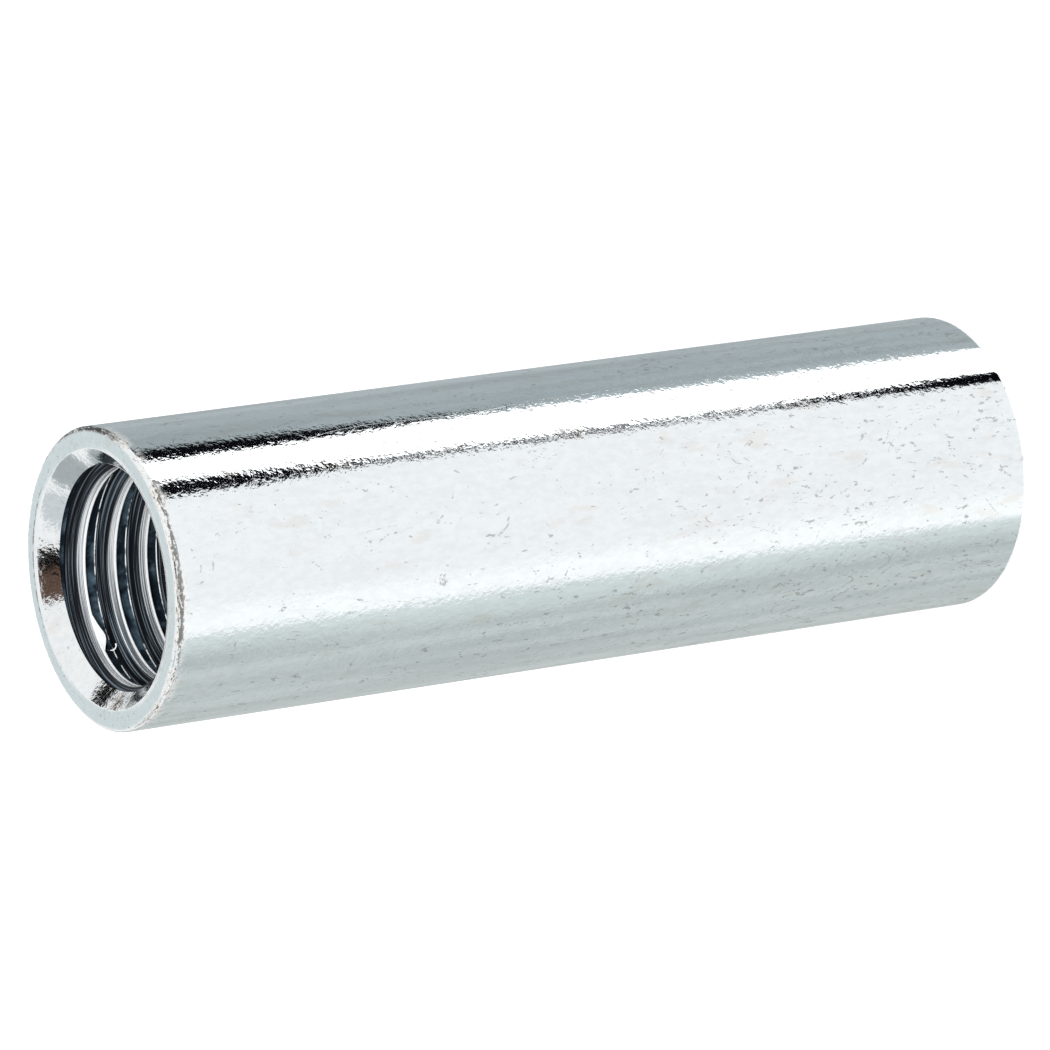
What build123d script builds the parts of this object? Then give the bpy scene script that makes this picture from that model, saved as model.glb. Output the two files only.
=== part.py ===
# Coupling nut: a long round steel sleeve, tapped right through, that joins two threaded rods end to end.
# It stands on its lower end, with its axis on +Z and its origin at the centre of that end's face.
import os

from build123d import *

os.makedirs("parts", exist_ok=True)

# Driving sizes in millimetres, for an M12 x 1.75 thread in a sleeve 15 across.
length = 50.0
# Across the crests of the internal thread, which is the clear way through the sleeve.
bore_diameter = 10.8
# From those crests out to the bright outer wall.
wall_thickness = 2.1
outer_corner_radius = 0.3
# The ring of end face that each countersink leaves, with its two soft edges.
end_ring_width = 1.05
countersink_angle = 90.0
countersink_edge_radius = 0.2

bore_radius = bore_diameter / 2
outside_radius = bore_radius + wall_thickness
countersink_radius = outside_radius - end_ring_width

with BuildPart() as coupling_nut:
    # The blank is a length of round bar, cut square.
    with BuildSketch(Plane.XY):
        Circle(outside_radius)
    extrude(amount=length)

    # The bore goes right through, and a cone at each mouth leads the rod in.
    lower_end, upper_end = coupling_nut.faces().filter_by(Axis.Z).sort_by(Axis.Z)
    with Locations(Plane(upper_end), Plane(lower_end)):
        CounterSinkHole(bore_radius, countersink_radius, length, countersink_angle)

    # Both rims of each end ring are softened, the inner pair less than the outer pair.
    rims = coupling_nut.faces().filter_by(Axis.Z).edges().sort_by(SortBy.RADIUS)
    fillet(rims[:2], countersink_edge_radius)
    fillet(rims[2:], outer_corner_radius)

coupling_nut.part.label = "coupling_nut"
export_step(coupling_nut.part, "parts/coupling_nut.step")
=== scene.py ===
# A round coupling nut in bright zinc plate, standing on its end as it would on a bench.
# The camera looks down past its upper mouth, rolled on its side, so that the nut lies across the picture.
import math

import bmesh
import bpy
from mathutils import Matrix, Vector


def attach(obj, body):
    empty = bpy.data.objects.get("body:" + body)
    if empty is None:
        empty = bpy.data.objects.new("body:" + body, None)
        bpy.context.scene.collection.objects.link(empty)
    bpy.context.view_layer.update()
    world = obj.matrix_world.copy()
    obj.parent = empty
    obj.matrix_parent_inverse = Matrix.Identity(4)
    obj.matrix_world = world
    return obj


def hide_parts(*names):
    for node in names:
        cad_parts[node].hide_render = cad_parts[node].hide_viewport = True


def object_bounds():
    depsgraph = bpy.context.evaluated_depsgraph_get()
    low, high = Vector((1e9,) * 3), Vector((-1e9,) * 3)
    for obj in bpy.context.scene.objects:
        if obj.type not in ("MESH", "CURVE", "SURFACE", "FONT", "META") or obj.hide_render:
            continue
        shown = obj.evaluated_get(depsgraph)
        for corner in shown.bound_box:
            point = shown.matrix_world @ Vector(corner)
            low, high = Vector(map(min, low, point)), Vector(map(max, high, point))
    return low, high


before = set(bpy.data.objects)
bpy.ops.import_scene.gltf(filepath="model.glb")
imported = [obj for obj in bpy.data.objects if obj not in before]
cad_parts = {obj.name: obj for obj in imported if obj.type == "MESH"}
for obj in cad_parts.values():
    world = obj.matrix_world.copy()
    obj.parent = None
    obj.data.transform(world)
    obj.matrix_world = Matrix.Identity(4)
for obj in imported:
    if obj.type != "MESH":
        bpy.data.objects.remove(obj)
cad_low, cad_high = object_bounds()

# The picture
#
# The camera is a long lens some 0.39 m away, 31.5 degrees above the bench and rolled past a right
# angle. It aims close to the nut's axis, a little above the middle.
MM = 0.001
PICTURE_PIXELS = 1050
FOCAL_PIXELS = 7698.0
SENSOR_WIDTH = 36.0
AIM_POINT = Vector((-0.26 * MM, 0.0, 25.66 * MM))
AIM_DISTANCE = 385.8 * MM
CAMERA_ELEVATION = math.radians(31.52)
CAMERA_ROLL = math.radians(-98.09)

lens = bpy.data.cameras.new("camera")
lens.sensor_width = SENSOR_WIDTH
lens.lens = FOCAL_PIXELS / PICTURE_PIXELS * SENSOR_WIDTH
lens.clip_start = 10 * MM
camera = bpy.data.objects.new("camera", lens)
bpy.context.scene.collection.objects.link(camera)
bpy.context.scene.camera = camera
camera.matrix_world = (
    Matrix.Translation(AIM_POINT)
    @ Matrix.Rotation(math.pi / 2 - CAMERA_ELEVATION, 4, "X")
    @ Matrix.Rotation(CAMERA_ROLL, 4, "Z")
    @ Matrix.Translation((0, 0, AIM_DISTANCE))
)
bpy.context.scene.view_settings.view_transform = "Standard"


# The bench and the light
#
# A white bench under an even white sky, with one soft lamp on the camera's side. A sheet round the
# nut's foot and panels over it are seen only in its shine, as bands of grey, white and black.
def feed(tree, socket, value):
    """A socket takes another socket's value, or a plain one."""
    if isinstance(value, bpy.types.NodeSocket):
        tree.links.new(value, socket)
    else:
        socket.default_value = value


def add_node(tree, kind, *values, **settings):
    """A node with its settings made and its first inputs fed, in order."""
    node = tree.nodes.new(kind)
    for name, value in settings.items():
        setattr(node, name, value)
    for socket, value in zip(node.inputs, values):
        feed(tree, socket, value)
    return node


def calc(tree, operation, *values, clamp=False):
    return add_node(tree, "ShaderNodeMath", *values, operation=operation, use_clamp=clamp).outputs[0]


def times(tree, first, *others):
    """Values or masks multiplied together."""
    for other in others:
        first = calc(tree, "MULTIPLY", first, other)
    return first


def shifted(tree, value, mask, amount):
    """The value with an amount added to it, as far as the mask says."""
    return calc(tree, "MULTIPLY_ADD", mask, amount, value)


def apart(tree, first, second):
    """How far apart two values are, whichever is larger."""
    return calc(tree, "ABSOLUTE", calc(tree, "SUBTRACT", first, second))


def between(tree, value, start, end):
    """0 up to the start mark, 1 past the end mark, and smooth between. Either mark may be the higher."""
    marks = (value, start, end, 0.0, 1.0)
    return add_node(tree, "ShaderNodeMapRange", *marks, interpolation_type="SMOOTHSTEP").outputs[0]


def blend(tree, share, first, second):
    node = add_node(tree, "ShaderNodeMix", data_type="RGBA")
    feed(tree, node.inputs[0], share)
    feed(tree, node.inputs[6], (*first, 1.0) if isinstance(first, tuple) else first)
    feed(tree, node.inputs[7], (*second, 1.0) if isinstance(second, tuple) else second)
    return node.outputs[2]


def colour_steps(tree, value, steps):
    """A colour ramp through the given places and colours."""
    ramp = add_node(tree, "ShaderNodeValToRGB", value)
    elements = ramp.color_ramp.elements
    while len(elements) < len(steps):
        elements.new(0.5)
    for element, (place, colour) in zip(elements, steps):
        element.position = place
        element.color = (*colour, 1.0)
    return ramp.outputs["Color"]


def noise(tree, place, scale, detail=2.0, roughness=0.5):
    node = add_node(tree, "ShaderNodeTexNoise")
    feed(tree, node.inputs["Vector"], place)
    feed(tree, node.inputs["Scale"], scale)
    feed(tree, node.inputs["Detail"], detail)
    feed(tree, node.inputs["Roughness"], roughness)
    return node.outputs["Fac"]


def stretched(tree, place, scale):
    return add_node(tree, "ShaderNodeVectorMath", place, scale, operation="MULTIPLY").outputs[0]


def glowing(name):
    """A material that only glows, with its tree and its glow's inputs."""
    material = bpy.data.materials.new(name)
    material.use_nodes = True
    tree = material.node_tree
    tree.nodes.clear()
    glow = add_node(tree, "ShaderNodeEmission")
    add_node(tree, "ShaderNodeOutputMaterial", glow.outputs[0])
    return material, tree, glow.inputs


def mesh_object(name, bm, materials):
    mesh = bpy.data.meshes.new(name)
    bm.to_mesh(mesh)
    bm.free()
    for material in materials:
        mesh.materials.append(material)
    made = bpy.data.objects.new(name, mesh)
    bpy.context.scene.collection.objects.link(made)
    return made


def only_in_reflections(panel):
    panel.visible_camera = False
    panel.visible_diffuse = False
    panel.visible_shadow = False
    panel.visible_transmission = False
    panel.visible_volume_scatter = False


WHITE = (1.0, 1.0, 1.0, 1.0)
world = bpy.data.worlds.new("white sky")
world.use_nodes = True
world.node_tree.nodes["Background"].inputs["Color"].default_value = WHITE
world.node_tree.nodes["Background"].inputs["Strength"].default_value = 1.0
bpy.context.scene.world = world

# The bench is painted a pale grey. A faint glow, which is seen but lights nothing, lifts it to white.
FLOOR_HALF = 1500 * MM
FLOOR_COLOUR = (0.8, 0.8, 0.8, 1.0)
FLOOR_LIFT = 0.22
bm = bmesh.new()
bmesh.ops.create_grid(bm, x_segments=1, y_segments=1, size=FLOOR_HALF)
bench = bpy.data.materials.new("white bench")
bench.use_nodes = True
tree = bench.node_tree
tree.nodes.clear()
paint = add_node(tree, "ShaderNodeBsdfDiffuse", FLOOR_COLOUR)
path = add_node(tree, "ShaderNodeLightPath")
seen = calc(tree, "ADD", path.outputs["Is Camera Ray"], path.outputs["Is Glossy Ray"])
seen = calc(tree, "ADD", seen, path.outputs["Is Transmission Ray"], clamp=True)
lift = add_node(tree, "ShaderNodeEmission", WHITE, times(tree, seen, FLOOR_LIFT))
both = add_node(tree, "ShaderNodeAddShader", paint.outputs[0], lift.outputs[0])
add_node(tree, "ShaderNodeOutputMaterial", both.outputs[0])
mesh_object("floor", bm, [bench])

# The nut's own sizes come from its CAD box.
LENGTH = cad_high.z
OUTSIDE_RADIUS = cad_high.x

# The lamp fills the near mouth, where the sky alone leaves the thread too dark. What faces the lamp
# gets as much light from it as from the whole sky when its share is 1.
LAMP_DISTANCE = 600 * MM
LAMP_ELEVATION = math.radians(42)
LAMP_SIZE = 250 * MM
LAMP_SHARE_OF_SKY = 1.0
lamp = bpy.data.lights.new("soft lamp", "AREA")
lamp.size = LAMP_SIZE
lamp.energy = LAMP_SHARE_OF_SKY * (math.pi * LAMP_DISTANCE) ** 2
lamp_stand = bpy.data.objects.new("soft lamp", lamp)
bpy.context.scene.collection.objects.link(lamp_stand)
lamp_stand.matrix_world = (
    Matrix.Translation((0, 0, LENGTH))
    @ Matrix.Rotation(math.pi / 2 - LAMP_ELEVATION, 4, "X")
    @ Matrix.Translation((0, 0, LAMP_DISTANCE))
)
lamp_stand.visible_glossy = False

# The sheet is made of spokes. The wall at a side angle a, measured from the camera's side towards +X,
# mirrors what lies at twice that angle, so each spoke starts on the wall at a and runs out at 2a.
SHEET_HEIGHT = 0.02 * MM
SPOKE_LENGTH = 400 * MM
SPOKES = 180
bm = bmesh.new()
bm.loops.layers.uv.new("UVMap")
bmesh.ops.create_grid(bm, x_segments=SPOKES, y_segments=1, size=0.5, calc_uvs=True)
for vert in bm.verts:
    side = vert.co.x * math.pi
    reach = (vert.co.y + 0.5) * SPOKE_LENGTH
    vert.co.x = OUTSIDE_RADIUS * math.sin(side) + reach * math.sin(2 * side)
    vert.co.y = -OUTSIDE_RADIUS * math.cos(side) - reach * math.cos(2 * side)
    vert.co.z = SHEET_HEIGHT


def side_place(degrees):
    """A side angle's place across the sheet, from 0 at -90 degrees to 1 at +90."""
    return degrees / 180 + 0.5


LINE_EDGE = 0.0015


def near_line(tree, across, degrees, half_width):
    """1 within the half width, in degrees, of a line at a side angle, and 0 outside it."""
    off = apart(tree, across, side_place(degrees))
    inside = calc(tree, "SUBTRACT", calc(tree, "DIVIDE", half_width, 180), off)
    return between(tree, inside, -LINE_EDGE, LINE_EDGE)


DULL_GREY = (0.56, 0.60, 0.59)
BLUE_GREY = (0.605, 0.66, 0.65)
LIGHT_GREY = (0.72, 0.78, 0.785)
BRIGHT = (1.06, 1.07, 1.07)
PALE = (0.955, 0.965, 0.98)
GLARE = (1.9, 1.9, 1.9)
DARK_GREY = (0.41, 0.465, 0.485)
MID_GREY = (0.46, 0.51, 0.53)
BLACK = (0.003, 0.003, 0.005)
# The bands by side angle, from the picture's lower edge of the nut to its upper one.
BANDS = (
    (-90, DULL_GREY),
    (-38, BLUE_GREY),
    (-28, LIGHT_GREY),
    (-25.5, BRIGHT),
    (-19.5, BRIGHT),
    (-14, PALE),
    (31.8, PALE),
    (32.4, GLARE),
    (46.2, GLARE),
    (46.8, DARK_GREY),
    (90, MID_GREY),
)
UPPER_LINE, LOWER_LINE = 48.0, 31.0
material, tree, glow = glowing("sheet")
spread = add_node(tree, "ShaderNodeUVMap").outputs[0]
across, along = add_node(tree, "ShaderNodeSeparateXYZ", spread).outputs[:2]
reach = times(tree, along, SPOKE_LENGTH / MM)
bands = colour_steps(tree, across, [(side_place(degrees), colour) for degrees, colour in BANDS])
# Each black line has a half width in degrees, which changes with the reach in millimetres. The upper
# line shows only on the nut's upper half, and the lower one is thinnest in the middle.
upper_width = shifted(tree, -0.6, between(tree, reach, 36, 78), 4.0)
lower_width = shifted(tree, 1.0, between(tree, reach, 64, 82), 2.2)
lower_width = shifted(tree, lower_width, between(tree, reach, 22, 4), 1.2)
upper = near_line(tree, across, UPPER_LINE, upper_width)
lower = near_line(tree, across, LOWER_LINE, lower_width)
feed(tree, glow["Color"], blend(tree, calc(tree, "MAXIMUM", upper, lower), bands, BLACK))
# The two grey bands are streaky.
STREAK_STRETCH = (30.0, 6.0, 1.0)
STREAK_LIGHT, STREAK_CHANGE = 1.06, -0.2
streaks = noise(tree, stretched(tree, spread, STREAK_STRETCH), scale=1.0, detail=3.0, roughness=0.65)
low_grey = between(tree, across, side_place(-28), side_place(-38))
high_grey = between(tree, across, side_place(47), side_place(51))
streaks = times(tree, between(tree, streaks, 0.38, 0.64), calc(tree, "MAXIMUM", low_grey, high_grey))
feed(tree, glow["Strength"], shifted(tree, STREAK_LIGHT, streaks, STREAK_CHANGE))
only_in_reflections(mesh_object("sheet", bm, [material]))

# Panels over the nut, each square to the line from the mouth: bearing from the camera's side towards
# +X, elevation, width and height in millimetres, and colour.
PANEL_DISTANCE = 300 * MM
PANELS = {
    "black_panel": (-37, 55, 75, 170, (0.004, 0.003, 0.003)),
    "brown_panel": (-5, 57, 116, 170, (0.11, 0.066, 0.048)),
    "low_black_panel": (129, 15, 90, 120, (0.006, 0.005, 0.005)),
    "low_brown_panel": (146, 5, 36, 70, (0.13, 0.09, 0.07)),
    "grey_panel": (-128, 22, 150, 150, (0.44, 0.475, 0.49)),
    "pale_grey_panel": (-88, 38, 150, 150, (0.66, 0.70, 0.72)),
    "blue_grey_panel": (180, 31.5, 280, 200, (0.70, 0.765, 0.78)),
}
for name, (bearing, elevation, width, height, colour) in PANELS.items():
    bm = bmesh.new()
    bmesh.ops.create_grid(bm, x_segments=1, y_segments=1, size=0.5)
    bmesh.ops.scale(bm, vec=(width * MM, height * MM, 1), verts=bm.verts)
    panel_place = (
        Matrix.Translation((0, 0, LENGTH))
        @ Matrix.Rotation(math.radians(bearing), 4, "Z")
        @ Matrix.Rotation(math.radians(90 - elevation), 4, "X")
        @ Matrix.Translation((0, 0, PANEL_DISTANCE))
    )
    bmesh.ops.transform(bm, matrix=panel_place, verts=bm.verts)
    material, tree, glow = glowing(name)
    feed(tree, glow["Color"], (*colour, 1.0))
    only_in_reflections(mesh_object(name, bm, [material]))

# The sleeve
#
# One piece of steel: a length of round bar, drilled through, countersunk at both mouths, tapped with
# a right-hand thread from end to end, and zinc plated. The tap leaves flat crests and roots, and a
# rolled lip where the groove would break out of the countersink.
CREST_RADIUS = 5.4 * MM
PITCH = 1.75 * MM
# The pitch is a crest, a flank, a root and the other flank, in equal parts.
PITCH_PARTS = 18
CREST_PARTS = 5
FLANK_PARTS = 4
FLANK_ANGLE = math.radians(30)
STEPS_PER_TURN = 144
# Height of a crest's lower edge where the thread crosses +X, less whole turns.
THREAD_START = 0.182 * MM
# Turns below the sleeve's foot, and in all beyond its length, for the level cuts to take off.
TURNS_BELOW = 2
SPARE_TURNS = 3
COUNTERSINK_RADIUS = 6.45 * MM
COUNTERSINK_SLOPE = math.radians(45)
COUNTERSINK_EDGE = 0.2 * MM
EDGE_SEGMENTS = 4
CORNER_RADIUS = 0.3 * MM
CORNER_SEGMENTS = 6
# A ring this far from each end keeps the wall's shading straight right up to the rounded corner.
HOLD = 0.4 * MM
# Above this depth the countersink belongs to the end's outline, and below it to the thread's mesh.
JOIN_DEPTH = 0.5 * MM
LIP_DEPTH = 0.86 * MM
MERGE = 0.002 * MM
PLATED, TAPPED = 0, 1

part_height = PITCH / PITCH_PARTS
thread_depth = FLANK_PARTS * part_height / math.tan(FLANK_ANGLE)
step_rise = PITCH / STEPS_PER_TURN
bottom = THREAD_START - TURNS_BELOW * PITCH


def countersink_radius(depth):
    return COUNTERSINK_RADIUS - depth * math.tan(COUNTERSINK_SLOPE)


def thread_radius(part):
    """The radius at a part of the pitch, counted up from a crest's lower edge."""
    cut = min(part - CREST_PARTS, PITCH_PARTS - part, FLANK_PARTS)
    return CREST_RADIUS + thread_depth * max(cut, 0) / FLANK_PARTS


bm = bmesh.new()
line = []
for part in range(PITCH_PARTS + 1):
    line.append(bm.verts.new((thread_radius(part), 0, bottom + part * part_height)))
edges = [bm.edges.new(pair) for pair in zip(line, line[1:])]
bmesh.ops.spin(
    bm,
    geom=line + edges,
    axis=(0, 0, 1),
    dvec=(0, 0, step_rise),
    angle=math.tau,
    steps=STEPS_PER_TURN,
)
one_turn = bm.verts[:] + bm.edges[:] + bm.faces[:]
for turn in range(1, math.ceil(LENGTH / PITCH) + SPARE_TURNS):
    copied = bmesh.ops.duplicate(bm, geom=one_turn)["geom"]
    moved = [piece for piece in copied if isinstance(piece, bmesh.types.BMVert)]
    bmesh.ops.translate(bm, vec=(0, 0, turn * PITCH), verts=moved)
bmesh.ops.remove_doubles(bm, verts=bm.verts, dist=MERGE)


def on_step(height):
    """The nearest height at which a level cut meets a thread vertex every few steps."""
    return bottom + round((height - bottom) / step_rise) * step_rise


# Each mouth is cut level at the joint with the end's outline, and cut again at the lip.
lower_join, upper_join = on_step(JOIN_DEPTH), on_step(LENGTH - JOIN_DEPTH)
lower_lip, upper_lip = on_step(LIP_DEPTH), on_step(LENGTH - LIP_DEPTH)
for height, direction, trim in (
    (lower_join, -1, True),
    (upper_join, 1, True),
    (lower_lip, -1, False),
    (upper_lip, 1, False),
):
    bmesh.ops.bisect_plane(
        bm,
        geom=bm.verts[:] + bm.edges[:] + bm.faces[:],
        dist=0.1 * MERGE,
        plane_co=(0, 0, height),
        plane_no=(0, 0, direction),
        clear_outer=trim,
    )

# From each end to its lip the surface is the countersink's cone, and past the lip whichever is wider.
for vert in bm.verts:
    height = vert.co.z
    depth = min(height, LENGTH - height)
    radius = vert.co.xy.length
    wanted = countersink_radius(depth)
    if lower_lip + MERGE < height < upper_lip - MERGE:
        wanted = max(radius, wanted)
    vert.co.xy *= wanted / radius
for face in bm.faces:
    in_bore = lower_lip < face.calc_center_median().z < upper_lip
    face.material_index = TAPPED if in_bore else PLATED

# The tap has torn the upper mouth's first crest: its lower edge hangs down in a ragged flap.
FIRST_CREST_TURN = 27
TEAR_FROM, TEAR_TO = math.radians(109), math.radians(129)
TEAR_DROP = 0.38 * MM
TEAR_TEETH = 9
TEAR_RAGGEDNESS = 0.25


def first_crest(angle):
    """Height of the first crest's lower edge at an angle from +X."""
    return THREAD_START + (FIRST_CREST_TURN + angle / math.tau) * PITCH


for vert in bm.verts:
    angle = math.atan2(vert.co.y, vert.co.x)
    on_edge = abs(vert.co.z - first_crest(angle)) < 0.2 * part_height
    if on_edge and TEAR_FROM < angle < TEAR_TO and vert.co.xy.length < CREST_RADIUS + MERGE:
        share = (angle - TEAR_FROM) / (TEAR_TO - TEAR_FROM)
        ragged = 1 - TEAR_RAGGEDNESS + TEAR_RAGGEDNESS * math.cos(TEAR_TEETH * math.tau * share)
        vert.co.z -= TEAR_DROP * math.sin(math.pi * share) ** 0.5 * ragged


def join_in(whole, part):
    """One bmesh's faces are put into another."""
    mesh = bpy.data.meshes.new("part")
    part.to_mesh(mesh)
    part.free()
    whole.from_mesh(mesh)
    bpy.data.meshes.remove(mesh)


# A thin curl of metal still hangs from the tear's end.
CURL_ANGLE = math.radians(127)
CURL_RADIUS = 0.31 * MM
CURL_THICKNESS = 0.035 * MM
CURL_HANG = 0.38 * MM
CURL_SIDES = 8
CURL_SWEEP = math.radians(260)
CURL_STEPS = 20
CURL_STEP_RISE = 0.006 * MM
CURL_TILT = math.radians(98)
curl = bmesh.new()
ring = bmesh.ops.create_circle(curl, segments=CURL_SIDES, radius=CURL_THICKNESS)["verts"]
bmesh.ops.rotate(curl, verts=ring, matrix=Matrix.Rotation(math.pi / 2, 3, "X"))
bmesh.ops.translate(curl, verts=ring, vec=(CURL_RADIUS, 0, 0))
bmesh.ops.spin(
    curl,
    geom=curl.verts[:] + curl.edges[:],
    axis=(0, 0, 1),
    dvec=(0, 0, CURL_STEP_RISE),
    angle=CURL_SWEEP,
    steps=CURL_STEPS,
)
bmesh.ops.holes_fill(curl, edges=curl.edges)
curl_place = (
    Matrix.Rotation(CURL_ANGLE, 4, "Z")
    @ Matrix.Translation((CREST_RADIUS - CURL_THICKNESS, 0, first_crest(CURL_ANGLE) - CURL_HANG))
    @ Matrix.Rotation(CURL_TILT, 4, "Y")
)
bmesh.ops.transform(curl, matrix=curl_place, verts=curl.verts)
for face in curl.faces:
    face.material_index = TAPPED
join_in(bm, curl)

# The ends and the outside are one turned outline, from the upper countersink to the lower one.
outline = [
    (countersink_radius(LENGTH - upper_join), upper_join),
    (COUNTERSINK_RADIUS, LENGTH),
    (OUTSIDE_RADIUS, LENGTH),
    (OUTSIDE_RADIUS, LENGTH - HOLD),
    (OUTSIDE_RADIUS, HOLD),
    (OUTSIDE_RADIUS, 0),
    (COUNTERSINK_RADIUS, 0),
    (countersink_radius(lower_join), lower_join),
]
skin = bmesh.new()
line = [skin.verts.new((radius, 0, height)) for radius, height in outline]
edges = [skin.edges.new(pair) for pair in zip(line, line[1:])]
bmesh.ops.spin(skin, geom=line + edges, axis=(0, 0, 1), angle=math.tau, steps=STEPS_PER_TURN, use_merge=True)


def rim_edges(radius):
    """The edges of both end faces that lie on a circle of this radius."""
    found = []
    for edge in skin.edges:
        for height in (0, LENGTH):
            if all(abs(v.co.z - height) + abs(v.co.xy.length - radius) < MERGE for v in edge.verts):
                found.append(edge)
    return found


# The bevel's offset is how far along each face a rounding of the wanted radius starts.
for radius, offset, segments in (
    (OUTSIDE_RADIUS, CORNER_RADIUS, CORNER_SEGMENTS),
    (COUNTERSINK_RADIUS, COUNTERSINK_EDGE * math.tan(COUNTERSINK_SLOPE / 2), EDGE_SEGMENTS),
):
    bmesh.ops.bevel(
        skin,
        geom=rim_edges(radius),
        offset=offset,
        offset_type="OFFSET",
        affect="EDGES",
        segments=segments,
        profile=0.5,
        material=-1,
    )
join_in(bm, skin)
bmesh.ops.remove_doubles(bm, verts=bm.verts, dist=MERGE)
bmesh.ops.recalc_face_normals(bm, faces=bm.faces)
SHARP_ANGLE = math.radians(24)
for face in bm.faces:
    face.smooth = True
for edge in bm.edges:
    edge.smooth = edge.calc_face_angle(0) < SHARP_ANGLE


# The sleeve's finish is bright zinc plate with a fine orange peel, scratched and scuffed in handling,
# with dirt in the corners of the upper mouth and a painted dark reflection on its outer rim. The tapped
# bore's colours are painted light and shade: dark roots with a painted sheen, near-black flanks painted
# as shade, and crests painted bright as if lit.
def new_group(name, inputs, outputs):
    """An empty node group, with its named inputs and outputs."""
    group = bpy.data.node_groups.new(name, "ShaderNodeTree")
    for title, kind in inputs.items():
        group.interface.new_socket(name=title, in_out="INPUT", socket_type=kind)
    for title, kind in outputs.items():
        group.interface.new_socket(name=title, in_out="OUTPUT", socket_type=kind)
    entry = group.nodes.new("NodeGroupInput")
    result = group.nodes.new("NodeGroupOutput")
    return group, entry.outputs, result.inputs


def use_group(tree, name, values):
    """A node group placed in a tree, with its named inputs fed."""
    node = add_node(tree, "ShaderNodeGroup", node_tree=bpy.data.node_groups[name])
    for title, value in values.items():
        feed(tree, node.inputs[title], value)
    return node.outputs


def past(tree, value, mark, start, end):
    """between, counted from a mark that itself changes over the surface."""
    return between(tree, calc(tree, "SUBTRACT", value, mark), start, end)


def window(tree, value, low, high, edge):
    """1 between the two marks, and 0 outside them."""
    rise = between(tree, value, low - edge, low + edge)
    fall = between(tree, value, high + edge, high - edge)
    return times(tree, rise, fall)


# Where a point is on the sleeve: in millimetres, its distance from the axis and from the nearer end,
# its turn from +X as a part of a full turn, so that the camera's side is at -0.25, and its place
# across the thread, from 0 at a crest's lower edge to 1 at the next crest's.
VECTOR, VALUE = "NodeSocketVector", "NodeSocketFloat"
tree, given, made = new_group(
    "sleeve_place",
    {"Position": VECTOR},
    {"Millimetres": VECTOR, "Radius": VALUE, "Depth": VALUE, "Turn": VALUE, "Phase": VALUE},
)
millimetres = stretched(tree, given["Position"], (1 / MM, 1 / MM, 1 / MM))
x, y, z = add_node(tree, "ShaderNodeSeparateXYZ", millimetres).outputs
squares = calc(tree, "ADD", times(tree, x, x), times(tree, y, y))
turn = calc(tree, "DIVIDE", calc(tree, "ARCTAN2", y, x), math.tau)
rise = calc(tree, "DIVIDE", calc(tree, "SUBTRACT", z, THREAD_START / MM), PITCH / MM)
feed(tree, made["Millimetres"], millimetres)
feed(tree, made["Radius"], calc(tree, "SQRT", squares))
feed(tree, made["Depth"], calc(tree, "MINIMUM", z, calc(tree, "SUBTRACT", LENGTH / MM, z)))
feed(tree, made["Turn"], turn)
feed(tree, made["Phase"], calc(tree, "FRACT", calc(tree, "SUBTRACT", rise, turn)))

# Orange peel with a finer grain, and a few long scratches in it, as a height in millimetres.
NOISE_MIDDLE = 0.5
GRAIN_SHARE = 2.4
SCRATCH_STRETCHES = ((0.25, 0.1, 0.16), (0.12, 0.3, 0.1))
SCRATCH_WIDTH = 0.0022
SCRATCH_DEPTH = 0.0010
tree, given, made = new_group("plating_relief", {"Millimetres": VECTOR, "Peel": VALUE}, {"Height": VALUE})
peel = noise(tree, given["Millimetres"], scale=1.6, detail=1.0)
grain = noise(tree, given["Millimetres"], scale=3.8, detail=2.0, roughness=0.55)
height = times(tree, shifted(tree, peel, grain, GRAIN_SHARE), given["Peel"])
for scale in SCRATCH_STRETCHES:
    wander = noise(tree, stretched(tree, given["Millimetres"], scale), scale=1.0, detail=0.0)
    scratch = between(tree, apart(tree, wander, NOISE_MIDDLE), SCRATCH_WIDTH, 0.0)
    height = shifted(tree, height, scratch, -SCRATCH_DEPTH)
feed(tree, made["Height"], height)

# Small brown-grey scuffs, drawn out along the nut: specks that keep to a few wandering tracks, a few
# loose ones, and short thin marks. The marks are lower, so that more shows, where Amount is higher.
SPECK_STRETCH = (1.0, 1.0, 0.4)
SPECK_MARK = 0.675
THIN_STRETCH = (0.5, 0.5, 0.16)
THIN_LEVELS = (0.40, 0.47, 0.54, 0.61)
THIN_MARK = 0.58
THIN_SHARE = 0.9
tree, given, made = new_group("scuffs", {"Millimetres": VECTOR, "Amount": VALUE}, {"Mask": VALUE})
millimetres = given["Millimetres"]
specks = noise(tree, stretched(tree, millimetres, SPECK_STRETCH), scale=4.2, detail=3.0, roughness=0.65)
tracks = noise(tree, millimetres, scale=0.24, detail=2.0, roughness=0.6)
near_track = between(tree, apart(tree, tracks, NOISE_MIDDLE), 0.02, 0.0)
patches = noise(tree, millimetres, scale=0.4, detail=1.0)
speck_mark = shifted(tree, SPECK_MARK, near_track, -0.07)
speck_mark = shifted(tree, speck_mark, calc(tree, "SUBTRACT", patches, NOISE_MIDDLE), -0.18)
speck_mark = calc(tree, "SUBTRACT", speck_mark, given["Amount"])
mask = past(tree, specks, speck_mark, 0.0, 0.06)
wander = noise(tree, stretched(tree, millimetres, THIN_STRETCH), scale=1.0, detail=1.0, roughness=0.3)
pieces = noise(tree, millimetres, scale=1.1, detail=2.0, roughness=0.6)
piece_mark = calc(tree, "SUBTRACT", THIN_MARK, times(tree, given["Amount"], 1.2))
crumbled = noise(tree, millimetres, scale=7.0, detail=2.0, roughness=0.6)
broken = times(tree, past(tree, pieces, piece_mark, 0.0, 0.05), between(tree, crumbled, 0.46, 0.53))
for level in THIN_LEVELS:
    thin = times(tree, between(tree, apart(tree, wander, level), 0.007, 0.001), broken, THIN_SHARE)
    mask = calc(tree, "MAXIMUM", mask, thin)
feed(tree, made["Mask"], mask)

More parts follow.
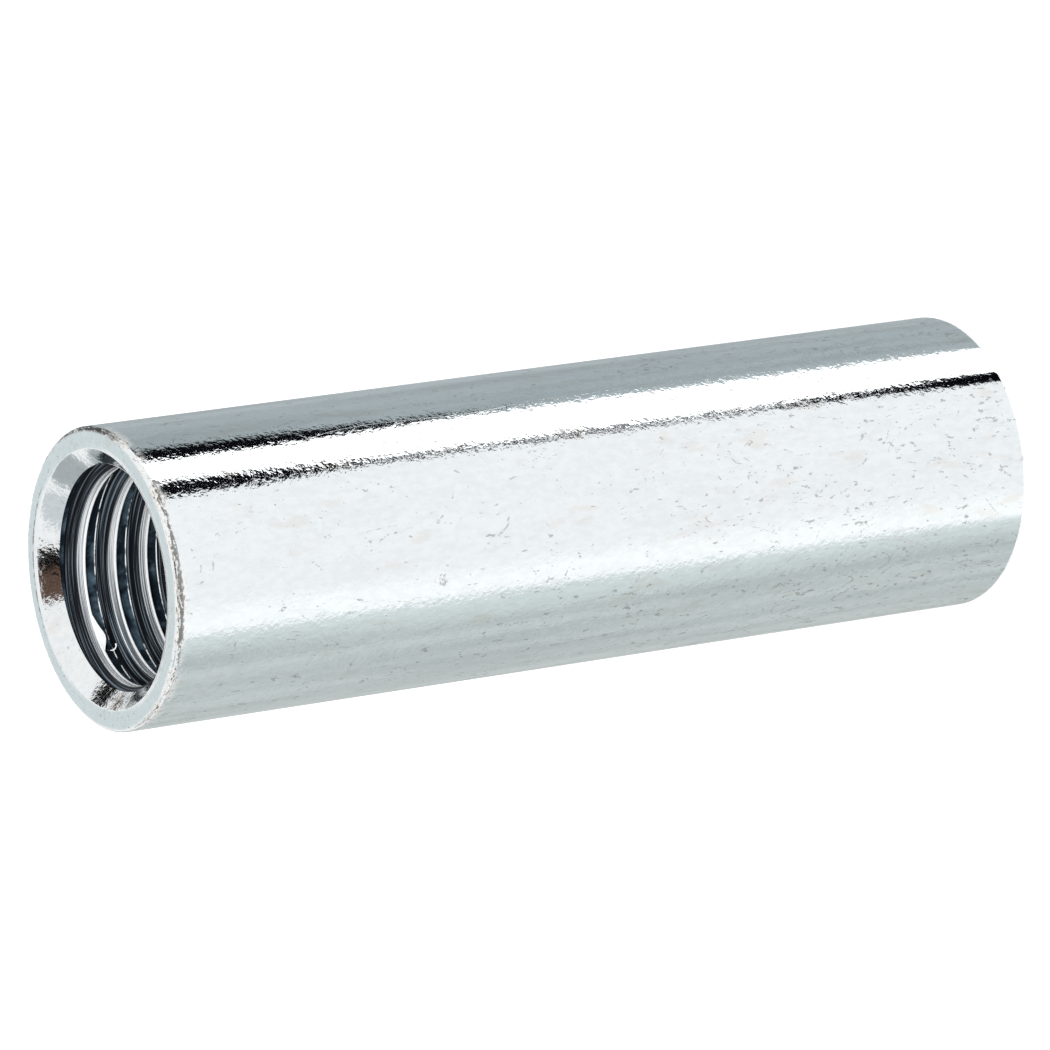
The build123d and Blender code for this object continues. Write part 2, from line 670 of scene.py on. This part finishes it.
# Fine lines that a tap leaves along the thread.
LINE_DRAW = 0.16
LINE_DRAW_UP = 0.3
tree, given, made = new_group(
    "tap_lines", {"Millimetres": VECTOR, "Phase": VALUE, "Lines": VALUE}, {"Mask": VALUE}
)
x, y, z = add_node(tree, "ShaderNodeSeparateXYZ", given["Millimetres"]).outputs
along = add_node(
    tree,
    "ShaderNodeCombineXYZ",
    times(tree, given["Phase"], given["Lines"]),
    times(tree, x, LINE_DRAW),
    times(tree, y, LINE_DRAW),
)
streaks = add_node(tree, "ShaderNodeTexNoise", noise_dimensions="4D")
feed(tree, streaks.inputs["Vector"], along.outputs[0])
feed(tree, streaks.inputs["W"], times(tree, z, LINE_DRAW_UP))
feed(tree, streaks.inputs["Scale"], 1.0)
feed(tree, made["Mask"], between(tree, streaks.outputs["Fac"], 0.44, 0.62))


def new_metal(name):
    """A material with its tree, its shader and where each point is on the sleeve."""
    material = bpy.data.materials.new(name)
    material.use_nodes = True
    tree = material.node_tree
    position = add_node(tree, "ShaderNodeTexCoord").outputs["Object"]
    place = use_group(tree, "sleeve_place", {"Position": position})
    return material, tree, tree.nodes["Principled BSDF"], place


def add_relief(tree, shader, height):
    """The surface seems to rise and fall by a height in millimetres."""
    bump = add_node(tree, "ShaderNodeBump")
    bump.inputs["Strength"].default_value = 1.0
    bump.inputs["Distance"].default_value = MM
    feed(tree, bump.inputs["Height"], height)
    feed(tree, shader.inputs["Normal"], bump.outputs[0])


ZINC = (0.86, 0.89, 0.90)
ZINC_DULL = (0.80, 0.83, 0.84)
WIPE = (0.74, 0.70, 0.62)
SCUFF = (0.19, 0.17, 0.145)
STAIN = (0.44, 0.41, 0.37)
DIRT = (0.045, 0.041, 0.037)
PAINTED_REFLECTION_BLACK = (0.012, 0.011, 0.011)
WIPE_SHARE, SCUFF_SHARE, DIRT_SHARE = 0.35, 0.5, 0.9
WIPE_STRETCH = (0.9, 0.9, 0.3)
CLOUD_STRETCH = (0.9, 0.9, 0.14)
MOTTLE_STRETCH = (1.0, 1.0, 0.5)
MOTTLE_SHARE, CLOUD_SHARE = 0.7, 0.3
# Crumbs of dirt are drawn out round the rim, and show where their noise is past this mark.
RIM_DRAW = 0.45
CRUMB_MARK = 0.64
DOT_MARK = 0.60
# The plate's roughness, and what the sink, the ring, and dirt or scuffs add to it.
ROUGHNESS, SINK_ADDS, RING_ADDS, DIRT_ADDS = 0.06, 0.05, 0.14, 0.3
PEEL_HEIGHT = 0.006
RING_ROLL = 0.05
zinc, tree, shader, place = new_metal("bright_zinc")
millimetres, radius, depth, turn = (place[title] for title in ("Millimetres", "Radius", "Depth", "Turn"))
x, y, z = add_node(tree, "ShaderNodeSeparateXYZ", millimetres).outputs
# The countersink and the end ring are duller than the drawn outside.
on_ring = between(tree, depth, 0.06, 0.01)
in_sink = times(tree, between(tree, radius, 6.5, 6.42), between(tree, depth, 0.02, 0.1))
# Dirt sits in the upper mouth's outer corner, most of it on the side that faces the camera.
corner = times(
    tree,
    window(tree, radius, 7.25, 8.0, 0.1),
    between(tree, depth, 0.75, 0.2),
    between(tree, z, 20.0, 30.0),
)
round_rim = add_node(
    tree,
    "ShaderNodeCombineXYZ",
    times(tree, x, RIM_DRAW),
    times(tree, y, RIM_DRAW),
    calc(tree, "SUBTRACT", radius, z),
)
crumbs = noise(tree, round_rim.outputs[0], scale=8.0, detail=4.0, roughness=0.7)
stains = noise(tree, millimetres, scale=1.3, detail=3.0, roughness=0.6)
facing = window(tree, turn, -0.46, -0.04, 0.06)
far_rim = window(tree, turn, 0.07, 0.22, 0.03)
worst = times(tree, window(tree, turn, -0.36, -0.17, 0.07), window(tree, depth, 0.12, 0.36, 0.08))
crumb_mark = shifted(tree, CRUMB_MARK, facing, -0.05)
crumb_mark = shifted(tree, crumb_mark, worst, -0.19)
crumb_mark = shifted(tree, crumb_mark, far_rim, -0.11)
crumb_mark = shifted(tree, crumb_mark, calc(tree, "SUBTRACT", stains, NOISE_MIDDLE), -0.35)
dirt = times(tree, corner, past(tree, crumbs, crumb_mark, -0.02, 0.05))
stain = times(tree, corner, between(tree, stains, 0.36, 0.62), shifted(tree, 0.15, facing, 0.55))
# A speckled black band of painted reflection, standing in for a dark line mirrored in the rounded corner,
# crosses the corner on the side that the picture shows at the top.
painted_rim_reflection = times(
    tree,
    corner,
    window(tree, turn, -0.075, 0.06, 0.03),
    between(tree, depth, 0.34, 0.2),
    between(tree, crumbs, 0.42, 0.46),
)
# Dots of dirt follow the ring's inner edge, most of them on the side away from the camera.
inner_edge = times(tree, window(tree, radius, 6.68, 6.80, 0.02), between(tree, depth, 0.12, 0.05))
dot_mark = shifted(tree, DOT_MARK, window(tree, turn, 0.13, 0.31, 0.04), -0.14)
dots = times(tree, inner_edge, past(tree, crumbs, dot_mark, 0.0, 0.04))
# There are more scuffs towards the foot, and on the two sides that the picture shows as its lower and
# upper edges.
low_end = between(tree, z, 34.0, 8.0)
picture_low = between(tree, x, -3.0, -7.0)
picture_high = between(tree, x, 3.0, 6.0)
amount = shifted(tree, times(tree, picture_low, 0.03), picture_high, 0.02)
amount = shifted(tree, amount, low_end, 0.04)
marks = use_group(tree, "scuffs", {"Millimetres": millimetres, "Amount": amount})["Mask"]
wipes = noise(tree, stretched(tree, millimetres, WIPE_STRETCH), scale=1.0, detail=3.0, roughness=0.6)
clouds = noise(tree, stretched(tree, millimetres, CLOUD_STRETCH), scale=0.8, detail=4.0, roughness=0.65)
mottle = noise(tree, stretched(tree, millimetres, MOTTLE_STRETCH), scale=3.0, detail=3.0, roughness=0.7)
clouds = shifted(tree, times(tree, clouds, CLOUD_SHARE), mottle, MOTTLE_SHARE)
colour = blend(tree, between(tree, clouds, 0.36, 0.62), ZINC_DULL, ZINC)
colour = blend(tree, times(tree, between(tree, wipes, 0.58, 0.70), WIPE_SHARE), colour, WIPE)
colour = blend(tree, times(tree, marks, SCUFF_SHARE), colour, SCUFF)
colour = blend(tree, stain, colour, STAIN)
dirt = calc(tree, "MAXIMUM", dirt, dots)
colour = blend(tree, times(tree, dirt, DIRT_SHARE), colour, DIRT)
# Over the dirt lies the rim's painted dark reflection.
colour = blend(tree, painted_rim_reflection, colour, PAINTED_REFLECTION_BLACK)
feed(tree, shader.inputs["Base Color"], colour)
matt = calc(tree, "MAXIMUM", calc(tree, "MAXIMUM", dirt, painted_rim_reflection), stain)
feed(tree, shader.inputs["Metallic"], calc(tree, "SUBTRACT", 1.0, matt, clamp=True))
rough = shifted(tree, ROUGHNESS, in_sink, SINK_ADDS)
rough = shifted(tree, rough, on_ring, RING_ADDS)
rough = shifted(tree, rough, calc(tree, "MAXIMUM", matt, marks), DIRT_ADDS)
feed(tree, shader.inputs["Roughness"], rough)
relief = use_group(tree, "plating_relief", {"Millimetres": millimetres, "Peel": PEEL_HEIGHT})["Height"]
# The end ring rolls gently over towards the countersink.
ring_rise = between(tree, radius, COUNTERSINK_RADIUS / MM, 6.72)
add_relief(tree, shader, shifted(tree, relief, ring_rise, RING_ROLL))

# The bore is painted rather than lit: bright crests as painted light, near-black flanks and dark roots as
# painted shade, a painted blue sheen on the roots, and the flanks' real tap lines drawn as painted glints.
CREST_PAINTED_LIGHT = (0.95, 0.97, 0.98)
CREST_PAINTED_SHADE = (0.10, 0.12, 0.14)
FLANK_PAINTED_SHADE = (0.005, 0.006, 0.008)
FLANK_LINE_GLINT = (0.115, 0.145, 0.17)
ROOT_PAINTED_SHADE = (0.012, 0.020, 0.030)
ROOT_PAINTED_SHEEN = (0.10, 0.16, 0.21)
CREST_LINES = 60.0
FLANK_LINES = 55.0
CREST_END = CREST_PARTS / PITCH_PARTS
ROOT_START = (CREST_PARTS + FLANK_PARTS) / PITCH_PARTS
ROOT_END = (PITCH_PARTS - FLANK_PARTS) / PITCH_PARTS
tapped, tree, shader, place = new_metal("tapped_steel")
millimetres, radius, depth, phase = (place[title] for title in ("Millimetres", "Radius", "Depth", "Phase"))
on_thread = {"Millimetres": millimetres, "Phase": phase}
lines = use_group(tree, "tap_lines", {**on_thread, "Lines": CREST_LINES})["Mask"]
few_lines = use_group(tree, "tap_lines", {**on_thread, "Lines": FLANK_LINES})["Mask"]
clouds = noise(tree, millimetres, scale=0.9, detail=3.0, roughness=0.6)
root = blend(tree, between(tree, clouds, 0.42, 0.66), ROOT_PAINTED_SHADE, ROOT_PAINTED_SHEEN)
flank = blend(tree, calc(tree, "POWER", few_lines, 3.0), FLANK_PAINTED_SHADE, FLANK_LINE_GLINT)
# Crests are painted light along the tap lines and painted shade between them, with a wider painted highlight
# just above their lower edge.
crest = blend(tree, lines, CREST_PAINTED_SHADE, CREST_PAINTED_LIGHT)
crest = blend(tree, window(tree, phase, 0.015, 0.085, 0.012), crest, CREST_PAINTED_LIGHT)
colour = blend(tree, window(tree, phase, ROOT_START, ROOT_END, 0.004), flank, root)
# A broken painted highlight, standing in for light caught where the flank rounds into the root, runs where
# the flank meets the root.
broken = between(tree, noise(tree, millimetres, scale=0.7, detail=3.0, roughness=0.7), 0.44, 0.56)
painted_root_highlight = window(tree, phase, ROOT_START - 0.01, ROOT_START + 0.012, 0.006)
painted_root_highlight = times(tree, painted_root_highlight, broken, between(tree, depth, 1.5, 2.0))
colour = blend(tree, painted_root_highlight, colour, CREST_PAINTED_LIGHT)
colour = blend(tree, between(tree, phase, CREST_END + 0.004, CREST_END - 0.004), colour, crest)
# The torn flap and its curl lie inside the crests' radius, and get the crests' painted highlight.
torn = between(tree, radius, CREST_RADIUS / MM + 0.012, CREST_RADIUS / MM + 0.002)
torn = times(tree, torn, between(tree, phase, 0.49, 0.51))
colour = blend(tree, torn, colour, CREST_PAINTED_LIGHT)
feed(tree, shader.inputs["Base Color"], colour)
shader.inputs["Metallic"].default_value = 0.0
shader.inputs["Roughness"].default_value = 0.38
shader.inputs["Specular IOR Level"].default_value = 0.1
relief = use_group(tree, "plating_relief", {"Millimetres": millimetres, "Peel": PEEL_HEIGHT})["Height"]
add_relief(tree, shader, relief)

sleeve = mesh_object("threaded_sleeve", bm, [zinc, tapped])
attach(sleeve, "root")
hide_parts("coupling_nut")
